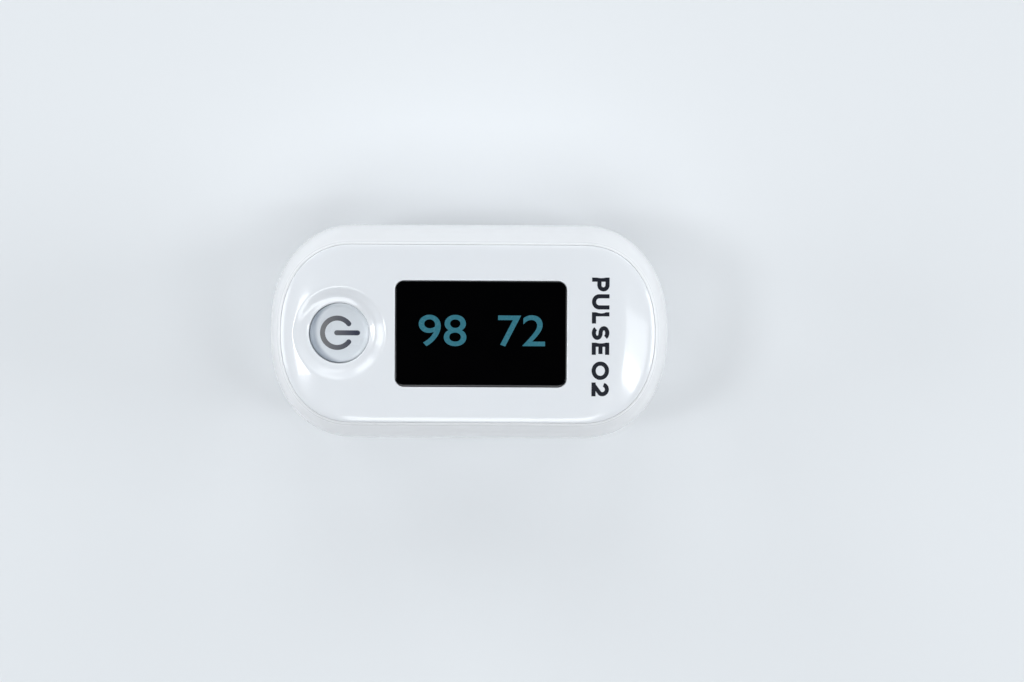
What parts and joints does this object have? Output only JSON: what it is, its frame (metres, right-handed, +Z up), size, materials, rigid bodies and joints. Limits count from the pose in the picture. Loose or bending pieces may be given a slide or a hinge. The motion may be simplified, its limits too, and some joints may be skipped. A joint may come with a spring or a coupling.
{
  "type": "fingertip pulse oximeter",
  "caption": "Clip that closes on a fingertip and reads pulse and blood oxygen, with a display, a recessed power button and a sliding battery door.",
  "frame": {"origin": "middle of the rest face under the closed clip", "axes": "+X along the finger towards the squeeze tail, +Y across, +Z up through the display"},
  "size_m": [0.0608, 0.033, 0.032],
  "materials": {
    "shell": "glossy moulded ABS",
    "panel": "high gloss moulded cap",
    "window": "black tinted acrylic",
    "inner": "fine matte moulding",
    "pad": "satin silicone",
    "steel": "plain spring and screw steel",
    "cell": "printed sleeve on a metal can",
    "contact": "nickel plated strip and wire",
    "pcb": "solder mask",
    "chip": "moulded package",
    "ceramic_chip": "sintered chip",
    "connector": "moulded nylon",
    "lens": "clear moulded lens",
    "flex": "polyimide ribbon",
    "oled": "display glass",
    "foam": "closed cell foam",
    "button": "smooth moulded key"
  },
  "bodies": {
    "lower_jaw": {"bottom_cover": "shell", "lower_inner_cover": "inner", "lower_finger_pad": "pad", "lower_screws": "steel", "aaa_cell_left": "cell", "aaa_cell_right": "cell", "series_contact": "contact", "positive_contact": "contact", "negative_contact": "contact", "front_battery_spring": "contact", "rear_battery_spring": "contact", "detector_board": "pcb", "photodiode": "chip", "detector_lens": "lens", "hinge_pin": "steel", "torsion_spring_left": "steel", "torsion_spring_right": "steel", "flex_cable": "flex"},
    "upper_jaw": {"top_cover": "shell", "front_panel": "panel", "display_window": "window", "display_gasket": "foam", "oled_display": "oled", "display_flex": "flex", "display_bracket": "inner", "main_pcb": "pcb", "microcontroller": "chip", "analog_amplifier": "chip", "crystal": "steel", "boost_inductor": "chip", "capacitors": "ceramic_chip", "flex_connector": "connector", "switch_body": "chip", "emitter_led": "ceramic_chip", "emitter_lens": "lens", "upper_inner_cover": "inner", "upper_finger_pad": "pad", "upper_screws": "steel", "pcb_screws": "steel"},
    "battery_door": {"battery_door": "shell"},
    "power_button": {"power_button": "button"},
    "switch_plunger": {"switch_plunger": "connector"}
  },
  "joints": [
    {"name": "jaw_hinge", "type": "hinge", "parent": "lower_jaw", "child": "upper_jaw", "pos_m": [0.0155, 0, 0.0176], "axis": [0, 1, 0], "range_deg": [0, 16], "stiffness_Nm_per_rad": 0.3, "springref_deg": -22.92, "deforming": ["torsion_spring_left", "torsion_spring_right", "flex_cable"]},
    {"name": "power_button_press", "type": "slide", "parent": "upper_jaw", "child": "power_button", "axis": [0, 0, -1], "range_m": [0, 0.0003], "stiffness_N_per_m": 300, "springref_m": -0.0003},
    {"name": "switch_plunger_travel", "type": "slide", "parent": "upper_jaw", "child": "switch_plunger", "axis": [0, 0, -1], "range_m": [0, 0.0003]},
    {"name": "battery_door_slide", "type": "slide", "parent": "lower_jaw", "child": "battery_door", "axis": [1, 0, 0], "range_m": [0, 0.055]}
  ],
  "couplings": [
    {"joint": "switch_plunger_travel", "follows": "power_button_press", "ratio": 1}
  ]
}
